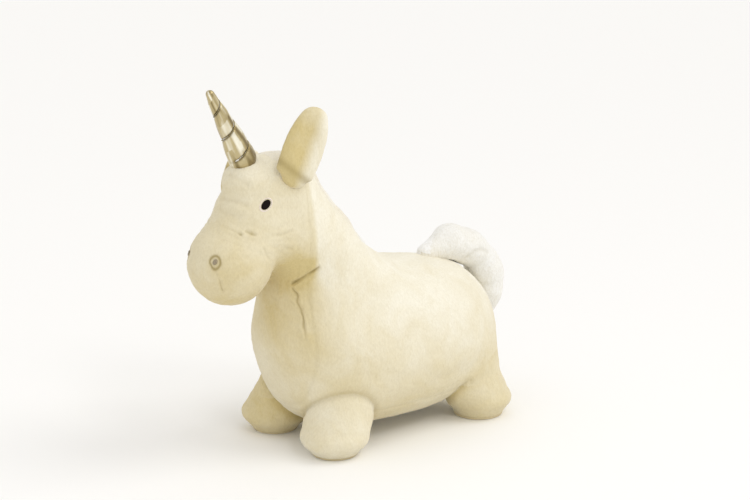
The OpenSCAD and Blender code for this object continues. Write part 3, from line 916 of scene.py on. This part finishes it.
# ---------------------------------------------------------------- face
def spot(name, centre, facing, slant, half, rise, flip, mat, ring=None, stitches=0):
    """An embroidered patch that lies on the head: a low dome, or a ring, ribbed with stitches."""
    facing = vec(*facing) / np.linalg.norm(facing)
    side = np.cross(vec(0, 0, 1), facing)
    side /= np.linalg.norm(side)
    up = np.cross(facing, side)
    c, s = math.cos(math.radians(slant)), math.sin(math.radians(slant))
    first, second = side * c + up * s, up * c - side * s
    around, rings = 72, 14
    verts, quads = [], []
    for i in range(rings + 1):
        t = i / rings
        r = t if ring is None else ring[0] + (ring[1] - ring[0]) * t
        a = np.arange(around) * 2 * np.pi / around
        flat = (vec(*centre) + np.outer(np.cos(a) * half[0] * r, first)
                + np.outer(np.sin(a) * half[1] * r, second)).astype(np.float32)
        lay = settle(cover, flat, 3)
        dome = math.sqrt(max(0.0, 1 - t ** 4)) if ring is None else math.sin(math.pi * t)
        rib = np.cos(stitches * (np.cos(a) * r if ring is None else a)) * 0.16 if stitches else 0
        lift = (rise * dome - 0.8 * (1 - dome) + rib * dome)
        n = gradient(cover, lay)
        verts.append(lay + n * (lift if np.ndim(lift) else np.full(around, lift))[:, None])
    verts = np.concatenate(verts).astype(np.float32)
    for i in range(rings):
        for k in range(around):
            j = (k + 1) % around
            quads.append([i * around + k, (i + 1) * around + k, (i + 1) * around + j, i * around + j])
    if flip:
        verts = verts * vec(-1, 1, 1)
        quads = [q[::-1] for q in quads]
    obj = new_object(name, verts, np.array(quads))
    obj.data.materials.append(mat)
    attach(obj, "body")
    return obj


# Each: where it lies, and which way it faces.
EYE = ((50, -205, 386.5), (0.85, -0.41, 0.33))
NOSTRIL_SPOT = (NOSTRIL[0], (0.55, -0.79, 0.29))
EYE_SLANT, NOSTRIL_SLANT = 47, 60


def build_face():
    for side in ("left", "right"):
        flip = side == "right"
        at, facing = EYE
        eye = spot("satin_eye_" + side, at, facing, EYE_SLANT, (8.6, 5.6), 2.0, flip, EYE_THREAD,
                   stitches=22)
        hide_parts("eye_" + side)
        rim = spot("eye_rim_" + side, at, facing, EYE_SLANT, (9.6, 6.6), 0.9, flip, RIM_THREAD,
                   ring=(0.95, 1.2), stitches=30)
        at, facing = NOSTRIL_SPOT
        hole = spot("satin_nostril_" + side, at, facing, NOSTRIL_SLANT, (4.4, 3.2), 0.5, flip,
                    NOSTRIL_THREAD, stitches=14)
        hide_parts("nostril_" + side)


# ---------------------------------------------------------------- soles
def build_soles():
    # Radius and height of each ring, from the middle of the sole out and over its edge.
    rings = [(0.0, 0.35), (16.0, 0.30), (28.0, 0.10), (31.0, 0.0), (32.6, 0.5), (33.5, 1.6), (33.7, 2.8),
             (32.8, 4.2), (29.0, 4.8)]
    around = 96
    a = np.arange(around) * 2 * np.pi / around
    for end, y in (("front", BODY_Y - 1 - FOOT[0][1]), ("rear", BODY_Y - 1 + FOOT[0][1])):
        for side, x in (("left", FOOT[0][0]), ("right", -FOOT[0][0])):
            verts = []
            for k, (r, z) in enumerate(rings):
                stitch = 0.35 * np.cos(a * 40) * (k in (5, 6))
                r = r + 4 * (end == "rear") * (k > 1)
                p = np.stack([x + np.cos(a) * (r + stitch), y + np.sin(a) * (r + stitch),
                              np.full(around, z)], axis=1)
                verts.append(p)
            verts = np.concatenate(verts).astype(np.float32)
            quads = [[(k + 1) * around + i, (k + 1) * around + (i + 1) % around,
                      k * around + (i + 1) % around, k * around + i]
                     for k in range(len(rings) - 1) for i in range(around)]
            name = "sole_%s_%s" % (end, side)
            obj = new_object("felt_" + name, verts, np.array(quads)[:, ::-1])
            paint(obj, groove=np.zeros(len(verts)), warm=np.full(len(verts), 0.5))
            obj.data.materials.append(SOLE_FELT)
            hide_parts(name)
            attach(obj, "body")


# ---------------------------------------------------------------- zip
TEETH_R, TEETH_PITCH = 0.0003, 0.0012      # metres


def build_zip():
    """Coil teeth: a fine helix pressed flat along each tape edge."""
    for side, sign in (("left", 1), ("right", -1)):
        low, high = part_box("zip_coil_" + side)
        sides, per_turn = 5, 10
        y0, y1 = low[1], high[1]
        turns = int((y1 - y0) / TEETH_PITCH)
        t = np.arange(turns * per_turn + 1) / per_turn
        a = 2 * np.pi * t
        cx, cz = (low[0] + high[0]) / 2, (low[2] + high[2]) / 2
        half_x, half_z = (high[0] - low[0]) / 2 - TEETH_R, (high[2] - low[2]) / 2 - TEETH_R
        centre = np.stack([cx + sign * half_x * np.cos(a), y0 + (y1 - y0) * t / t[-1],
                           cz + half_z * np.sin(a)], axis=1)
        tangent = np.gradient(centre, axis=0)
        tangent /= np.linalg.norm(tangent, axis=1)[:, None]
        out = np.stack([np.cos(a) * sign, 0 * a, np.sin(a)], axis=1)
        other = np.cross(tangent, out)
        ring = [centre + TEETH_R * (out * math.cos(b) + other * math.sin(b))
                for b in np.arange(sides) * 2 * np.pi / sides]
        verts = np.stack(ring, axis=1).reshape(-1, 3) / MM
        n = len(t)
        i, k = np.meshgrid(np.arange(n - 1), np.arange(sides), indexing="ij")
        j = (k + 1) % sides
        quads = np.stack([i * sides + k, (i + 1) * sides + k, (i + 1) * sides + j, i * sides + j], axis=-1)
        obj = new_object("zip_teeth_" + side, verts, quads.reshape(-1, 4))
        obj.data.materials.append(ZIP_PLASTIC)
        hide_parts("zip_coil_" + side)
        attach(obj, "body")


def dress_frame():
    """Materials for the pieces that keep their CAD shape."""
    looks = {"bladder": VINYL, "valve": VALVE_PLASTIC, "zip_tape": ZIP_TAPE,
             "zip_s": ZIP_METAL, "zip_p": ZIP_METAL}
    for name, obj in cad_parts.items():
        mat = STUFFING if name.endswith("stuffing") else None
        for start, look in looks.items():
            if name.startswith(start):
                mat = look
        if mat:
            for s in obj.material_slots:
                s.material = mat


build_cover()
build_mane()
build_ear("left")
build_ear("right")
build_horn()
build_tail()
build_face()
build_soles()
build_zip()
dress_frame()


# ---------------------------------------------------------------- stage, light and camera
def light(name, kind, place, aim, energy, colour=(1, 1, 1), **settings):
    data = bpy.data.lights.new(name, kind)
    data.energy = energy
    data.color = colour
    for key, value in settings.items():
        setattr(data, key, value)
    obj = bpy.data.objects.new(name, data)
    obj.location = place
    obj.rotation_euler = (Vector(aim) - Vector(place)).to_track_quat("-Z", "Y").to_euler()
    bpy.context.scene.collection.objects.link(obj)


FLOOR_HALF = 40.0          # metres
WORLD_STRENGTH = 0.84
SUN_STRENGTH, SUN_ANGLE = 0.68, 35


def stage():
    r = FLOOR_HALF
    mesh = bpy.data.meshes.new("floor")
    mesh.from_pydata([(-r, -r, 0), (r, -r, 0), (r, r, 0), (-r, r, 0)], [], [(0, 1, 2, 3)])
    floor = bpy.data.objects.new("floor", mesh)
    bpy.context.scene.collection.objects.link(floor)
    m, _, shader = material("floor")
    shader.inputs["Base Color"].default_value = (0.95, 0.95, 0.95, 1)
    shader.inputs["Roughness"].default_value = 0.95
    floor.data.materials.append(m)
    world = bpy.data.worlds.new("studio")
    bpy.context.scene.world = world
    world.use_nodes = True
    sky = world.node_tree.nodes["Background"]
    sky.inputs[0].default_value = (1.0, 0.985, 0.96, 1)
    sky.inputs[1].default_value = WORLD_STRENGTH
    light("key", "SUN", (1.9, 2.2, 3.8), (0.0, 0.0, 0.2), SUN_STRENGTH, (1.0, 0.985, 0.95),
          angle=math.radians(SUN_ANGLE))
    light("glint", "AREA", (2.0, -0.4, 2.2), (0, -0.25, 0.5), 8.0, size=0.6)


CAMERA_AZIMUTH, CAMERA_ELEVATION = 50.46, 16.16
CAMERA_DISTANCE = 2.99
CAMERA_PIVOT = Vector((0.0, 0.037, 0.1955))
CAMERA_AIM = Vector((-0.0173, 0.0477, 0.2651))
CAMERA_LENS = 94.7


def camera():
    data = bpy.data.cameras.new("camera")
    data.lens = CAMERA_LENS
    data.sensor_width = 36.0
    obj = bpy.data.objects.new("camera", data)
    a, e = math.radians(CAMERA_AZIMUTH), math.radians(CAMERA_ELEVATION)
    back = Vector((math.sin(a) * math.cos(e), -math.cos(a) * math.cos(e), math.sin(e)))
    obj.location = CAMERA_PIVOT + CAMERA_DISTANCE * back
    obj.rotation_euler = (CAMERA_AIM - obj.location).to_track_quat("-Z", "Y").to_euler()
    bpy.context.scene.collection.objects.link(obj)
    bpy.context.scene.camera = obj


stage()
camera()
bpy.context.scene.view_settings.view_transform = "Standard"
